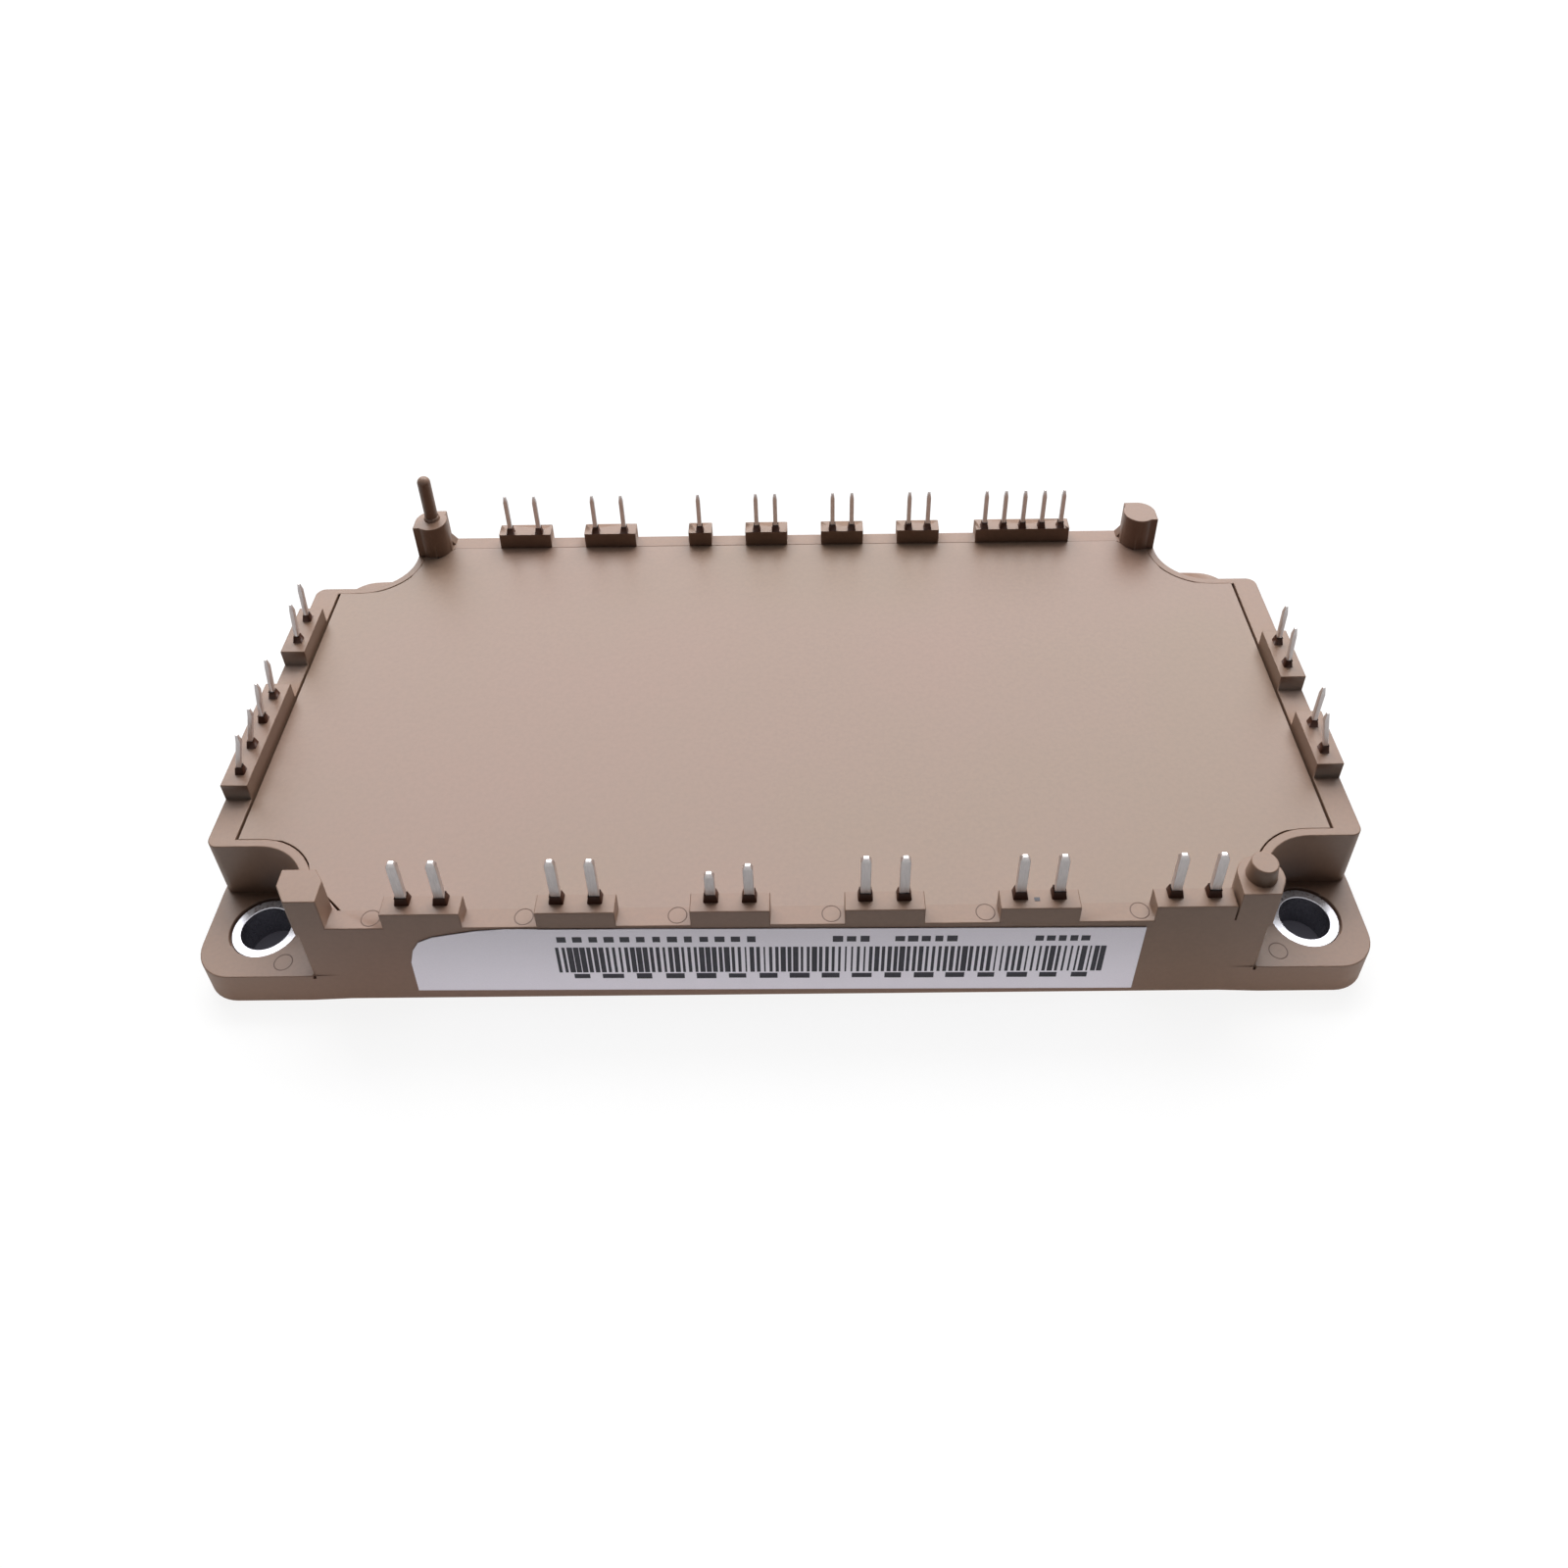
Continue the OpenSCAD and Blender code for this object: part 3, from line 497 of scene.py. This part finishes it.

# %% [markdown]
# ## The housing
# The housing is moulded round its terminals. Where a pin leaves a block, a small collar of the
# plastic climbs it, and its faces are painted a nearly black brown: painted shade at the pin's foot.
# The moulding could be modelled again by hand, but the CAD shape is already right, so only its
# edges are rounded and the collars, found by their height, get the painted shade. Faces crowded
# with holes keep sharp edges, so they stay whole.

# %% Build the housing with painted shade on its collars
HOUSING_ROUND = 0.12
COLLAR_FOOT, COLLAR_TOP, COLLAR_RISE = 14.4 * MM, 15.3 * MM, 0.1 * MM
EAR_SKIN, RIM_TOP, POST_FOOT = 3.9 * MM, 12.15 * MM, 12.3 * MM
INSIDE_X, INSIDE_Y, OPENING_Y = 57.95 * MM, 28.7 * MM, 28.67 * MM
REAR_ROW, REAR_POST_X, POST_REACH = 27 * MM, 47.25 * MM, 3 * MM
SLACK = 0.02 * MM


def kept_sharp(edge):
    """Edges with no round: underside, inside, front joint, and the crowded rear row and posts."""
    ends = [v.co for v in edge.verts]
    level = max(c.z for c in ends)
    inside = level < RIM_TOP and all(abs(c.x) < INSIDE_X and abs(c.y) < INSIDE_Y for c in ends)
    at_joint = level > RIM_TOP and all(abs(c.y + OPENING_Y) < CLOSE for c in ends)
    if level < EAR_SKIN or inside or at_joint:
        return True
    if min(c.y for c in ends) < REAR_ROW:
        return False
    at_foot = level < POST_FOOT and any(abs(abs(c.x) - REAR_POST_X) < POST_REACH for c in ends)
    return at_foot or all(abs(c.z - COLLAR_FOOT) < SLACK for c in ends)


shape = merged_copy("housing_frame")
weigh_edges(shape, HOUSING_ROUND * MM, kept_sharp)
collar_faces = 0
# Collar faces take the second finish: painted shade at the feet of the pins.
for face in shape.faces:
    heights = [v.co.z for v in face.verts]
    low, high = min(heights), max(heights)
    if low > COLLAR_FOOT - SLACK and COLLAR_FOOT + COLLAR_RISE < high < COLLAR_TOP + SLACK:
        face.material_index = 1
        collar_faces += 1
housing = finished_piece(shape, "housing_moulding", [frame_plastic, collar_painted_shade],
                         ["housing_frame"])
round_edges(housing, HOUSING_ROUND)
print(collar_faces, "collar faces")

# %% [markdown]
# ## The cover
# The lid is a separate plate glued into the frame. Along the front and the back it sits tight and
# flush, so its joint hardly shows. At the two ends a narrow dark gap stays open, and it opens a
# little more at the corners cut beside the front posts. The points on the plate's outline are moved
# by these few tenths of a millimetre, which draws the joint without a line painted on.

# %% Build the cover with its tight and open joints
COVER_ROUND = 0.05
COVER_X, COVER_Y, COVER_TOP = 57.8 * MM, 28.55 * MM, 12.15 * MM
FRAME_TOP, STEP_DOWN, TOP_SLACK = 12.2 * MM, 0.005 * MM, 0.01 * MM
TIGHT, OPEN, CORNER_OPEN = 0.13 * MM, 0.18 * MM, 0.30 * MM
NOTCH_X, NOTCH_Y, ARC_OPEN = 55.2 * MM, 26.65 * MM, (49.0 * MM, 53.3 * MM)
NOTCH_REACH, NOTCH_FROM = 8 * MM, 47 * MM
shape = merged_copy("cover_plate")
for v in shape.verts:
    side_x, side_y = math.copysign(1, v.co.x), math.copysign(1, v.co.y)
    at_end = abs(v.co.x) > COVER_X - CLOSE
    at_side = abs(v.co.y) > COVER_Y - CLOSE
    if v.co.z > COVER_TOP - TOP_SLACK:
        v.co.z = FRAME_TOP - STEP_DOWN
    if at_side:
        v.co.y += side_y * TIGHT
        if v.co.y < 0:
            v.co.x -= side_x * CORNER_OPEN
    if at_end:
        v.co.x -= side_x * OPEN
    ahead, out = NOTCH_X - abs(v.co.x), NOTCH_Y - abs(v.co.y)
    beside_notch = not at_side and out < NOTCH_REACH and abs(v.co.x) > NOTCH_FROM
    if beside_notch and not ARC_OPEN[0] < abs(v.co.x) < ARC_OPEN[1]:
        toward = Vector((max(ahead, 0), out, 0)).normalized() * TIGHT
        v.co.x += side_x * toward.x
        v.co.y += side_y * toward.y


def front_joint(edge):
    """The cover's front edge, which meets the frame flush and sharp."""
    return all(v.co.y < -COVER_Y for v in edge.verts)


weigh_edges(shape, COVER_ROUND * MM, front_joint)
cover = finished_piece(shape, "cover_moulding", [cover_plastic], ["cover_plate"])
round_edges(cover, COVER_ROUND)
print("end gap opened by", round(OPEN / MM, 2), "mm")

# %% [markdown]
# ## Bushings and pins
# The bushings are turned steel tubes with a small broken edge. The pins are punched from strip, so
# their arrises are only just softened, and the tin plating makes them bright. The CAD shapes are
# right as they are, so each node is copied and only its edges are rounded.

# %% Build the bushings and the terminals
BUSHING_ROUND, PIN_ROUND = 0.10, 0.06
rounded_copy("mounting_bushings", "plated_bushings", BUSHING_ROUND, zinc, 3)
TERMINALS = ["input_terminal_r", "input_terminal_s", "input_terminal_t", "output_terminal_u",
             "output_terminal_v", "output_terminal_w", "dc_positive_terminal", "dc_link_terminal",
             "brake_terminal", "dc_negative_terminal", "emitter_terminal", "gate_pins_u",
             "gate_pins_v", "gate_pins_w", "low_side_gate_pins", "sense_pins", "thermistor_pins"]
for node in TERMINALS:
    rounded_copy(node, node + "_plated", PIN_ROUND, tinned)
print(len(TERMINALS), "terminals")

# %% [markdown]
# ## Printed label and moulded marks
# A label repeats one simple mark many times, and so do the round marks that ejector pins leave on a
# moulding. One small node tree sets copies of a shape along a line, each with its own width from a
# fixed seed, and turns them into plain mesh. The label carries only bars and dashes, no words.

# %% A tree that repeats a shape along a line
def input_key(tree, label):
    """The identifier of a tree's named input."""
    return next(i.identifier for i in tree.interface.items_tree if i.item_type == "SOCKET"
                and i.in_out == "INPUT" and i.name == label)


def row_tree(name, finish, shape_kind):
    """Geometry Nodes: copies of a box or a thin ring along a line, then real mesh with a finish."""
    tree = bpy.data.node_groups.new(name, "GeometryNodeTree")
    for label, kind, default in (("Count", "NodeSocketInt", 2),
                                 ("Start", "NodeSocketVector", (0, 0, 0)),
                                 ("Step", "NodeSocketVector", (0.001, 0, 0)),
                                 ("Smallest", "NodeSocketVector", (1, 1, 1)),
                                 ("Largest", "NodeSocketVector", (1, 1, 1)),
                                 ("Seed", "NodeSocketInt", 0)):
        made = tree.interface.new_socket(label, in_out="INPUT", socket_type=kind)
        made.default_value = default
    tree.interface.new_socket("Geometry", in_out="OUTPUT", socket_type="NodeSocketGeometry")
    given = add(tree, "NodeGroupInput").outputs
    line = add(tree, "GeometryNodeMeshLine", {"Count": given["Count"], "Start Location": given["Start"],
                                              "Offset": given["Step"]}, mode="OFFSET")
    size = add(tree, "FunctionNodeRandomValue", {0: given["Smallest"], 1: given["Largest"],
                                                 "Seed": given["Seed"]}, data_type="FLOAT_VECTOR")
    if shape_kind == "box":
        unit = add(tree, "GeometryNodeMeshCube", {"Size": (1, 1, 1)}).outputs["Mesh"]
    else:
        path = add(tree, "GeometryNodeCurvePrimitiveCircle", {"Resolution": 40, "Radius": 1.0})
        wire = add(tree, "GeometryNodeCurvePrimitiveCircle", {"Resolution": 8, "Radius": 0.07})
        swept = add(tree, "GeometryNodeCurveToMesh", {"Curve": path.outputs["Curve"],
                                                      "Profile Curve": wire.outputs["Curve"]})
        unit = swept.outputs["Mesh"]
    copies = add(tree, "GeometryNodeInstanceOnPoints", {"Points": line.outputs["Mesh"],
                                                        "Instance": unit, "Scale": size.outputs[0]})
    real = add(tree, "GeometryNodeRealizeInstances", {0: copies.outputs[0]})
    painted = add(tree, "GeometryNodeSetMaterial", {0: real.outputs[0], "Material": finish})
    add(tree, "NodeGroupOutput", {"Geometry": painted.outputs[0]})
    return tree


bars = row_tree("printed_bars", ink, "box")
rings = row_tree("ejector_rings", ring_painted_shade, "ring")
print("two row trees of", len(bars.nodes), "and", len(rings.nodes), "nodes")

# %% [markdown]
# ## Growing a row
# A tree does nothing until a modifier runs it. An empty mesh holds the modifier, its inputs are set
# by their identifiers, and the evaluated result is added to the shape that is being built. The
# holder is then thrown away, so that only plain mesh is left.

# %% Run a row tree into a shape
def grown_row(shape, tree, count, start, step, smallest, largest, seed=0):
    """Adds one evaluated row to a bmesh; lengths in millimetres."""
    holder = bpy.data.objects.new("row", bpy.data.meshes.new("row"))
    bpy.context.scene.collection.objects.link(holder)
    grow = holder.modifiers.new("row", "NODES")
    grow.node_group = tree
    for label, value in (("Count", count), ("Start", [MM * c for c in start]),
                         ("Step", [MM * c for c in step]), ("Smallest", [MM * c for c in smallest]),
                         ("Largest", [MM * c for c in largest]), ("Seed", seed)):
        grow[input_key(tree, label)] = value
    mesh = bpy.data.meshes.new_from_object(holder.evaluated_get(bpy.context.evaluated_depsgraph_get()))
    shape.from_mesh(mesh)
    bpy.data.objects.remove(holder)
    print("row of", count, "with", len(mesh.polygons), "faces")


# %% [markdown]
# ## The label's sheet
# The label is coated paper stuck on the front wall, with its top left corner worn away. A flat card
# with a picture on it would do, but a thin closed sheet with raised ink gives every bar as real
# mesh, which keeps its edges at any distance. Lengths here are in millimetres.

# %% Cut the sheet with its worn corner
LABEL_FACE, SHEET = -30.95, 0.1
INK = 0.012
OUTLINE = [(-37.8, 1.3), (36.0, 1.3), (36.0, 11.7), (-27.5, 11.7), (-30.5, 11.45), (-33.0, 10.9),
           (-35.0, 10.4), (-36.4, 9.6), (-37.2, 8.2), (-37.7, 6.2)]
shape = bmesh.new()
front = [shape.verts.new((x * MM, LABEL_FACE * MM, z * MM)) for x, z in OUTLINE]
back = [shape.verts.new((x * MM, (LABEL_FACE + SHEET) * MM, z * MM)) for x, z in OUTLINE]
shape.faces.new(front)
shape.faces.new(back[::-1])
for i in range(len(OUTLINE)):
    j = (i + 1) % len(OUTLINE)
    shape.faces.new((front[j], front[i], back[i], back[j]))
sheet_faces = len(shape.faces)
print("sheet of", sheet_faces, "faces")

# %% [markdown]
# ## The print on the label
# The bar code is one row of bars, and the lines of print above and below it are rows of dashes. In
# WORDS each entry is a group of dashes: how many, where the first one stands, and their spacing.

# %% Print the bars and dashes, then tilt the whole label
BAR_SEED, UPPER_SEED, LOWER_SEED = 7, 11, 5
WORDS = [(13, -22.1, 1.58), (3, 5.5, 1.35), (5, 11.7, 1.30), (5, 25.6, 1.15)]
grown_row(shape, bars, 88, start=(-22.7, LABEL_FACE, 6.55), step=(0.631, 0, 0),
          smallest=(0.16, INK, 4.3), largest=(0.58, INK, 4.3), seed=BAR_SEED)
for i, (count, first, pitch) in enumerate(WORDS):
    grown_row(shape, bars, count, start=(first, LABEL_FACE, 10.0), step=(pitch, 0, 0),
              smallest=(0.75, INK, 0.85), largest=(1.05, INK, 1.0), seed=UPPER_SEED + i)
grown_row(shape, bars, 17, start=(-20.6, LABEL_FACE, 3.75), step=(3.18, 0, 0),
          smallest=(1.5, INK, 0.75), largest=(2.2, INK, 0.95), seed=LOWER_SEED)
TILT_DEGREES, MIDDLE = 0.6, (-1 * MM, 0, 6.5 * MM)
tilt = Matrix.Rotation(math.radians(TILT_DEGREES), 4, "Y")
pivot = Matrix.Translation(MIDDLE)
bmesh.ops.transform(shape, matrix=pivot @ tilt @ pivot.inverted(), verts=shape.verts)
shape.faces.ensure_lookup_table()
for i, face in enumerate(shape.faces):
    face.material_index = 0 if i < sheet_faces else 1
bmesh.ops.recalc_face_normals(shape, faces=shape.faces)
finished_piece(shape, "printed_label", [paper, ink], ["rating_label"])

# %% [markdown]
# ## Marks on the moulding
# Ejector pins push the moulding out of its tool, and each leaves a faint circle: a row of them on
# the front ledge and one on each front ear. Two dark specks sit on one of the front blocks. A bump
# texture could draw the rings, but a hair-thin ring of mesh stays sharp and is exported as it is.

# %% Round marks of the ejector pins and two specks
shape = bmesh.new()
RING = (0.92, 0.92, 0.5)
SPECK_SEED = 3
# The rings are real marks; their darker brown is painted shade along each ring's tiny step.
grown_row(shape, rings, 6, start=(-41.0, -29.6, 12.19), step=(15.3, 0, 0), smallest=RING, largest=RING)
grown_row(shape, rings, 2, start=(-51.8, -29.3, 4.39), step=(102.8, 0.2, 0), smallest=RING, largest=RING)
finished_piece(shape, "ejector_marks", [ring_painted_shade], [])
shape = bmesh.new()
grown_row(shape, bars, 2, start=(25.1, -29.75, 14.41), step=(-1.45, 0.87, 0),
          smallest=(0.45, 0.38, 0.04), largest=(0.60, 0.50, 0.05), seed=SPECK_SEED)
finished_piece(shape, "dark_specks", [ink], [])

# %% [markdown]
# ## The other pieces
# Everything under the lid keeps its CAD shape, and the base plate and the seal do too. Each of
# these nodes only gets its finish. The dictionary reads as a parts list.

# %% Give every other node its finish
FINISHES = {
    nickel: ["base_plate"],
    copper: ["copper_backings", "rectifier_tracks", "high_side_tracks", "low_side_tracks"],
    alumina: ["rectifier_ceramic", "high_side_ceramic", "low_side_ceramic"],
    solder: ["substrate_solder", "chip_solder"],
    chip_metal: ["rectifier_diodes", "high_side_igbts", "low_side_igbts", "high_side_diodes",
                 "low_side_diodes", "brake_igbt", "brake_diode"],
    wire_metal: ["chip_bond_wires", "terminal_bond_wires"],
    gel: ["silicone_gel"], seal: ["base_seal"], sintered: ["thermistor"],
}
for finish, nodes in FINISHES.items():
    for node in nodes:
        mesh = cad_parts[node].data
        mesh.materials.clear()
        mesh.materials.append(finish)
    print(finish.name, "on", len(nodes), "nodes")

# %% [markdown]
# ## Last lines
# Colours are shown as written, without a film look.

# %% Show colours as written
bpy.context.scene.view_settings.view_transform = "Standard"
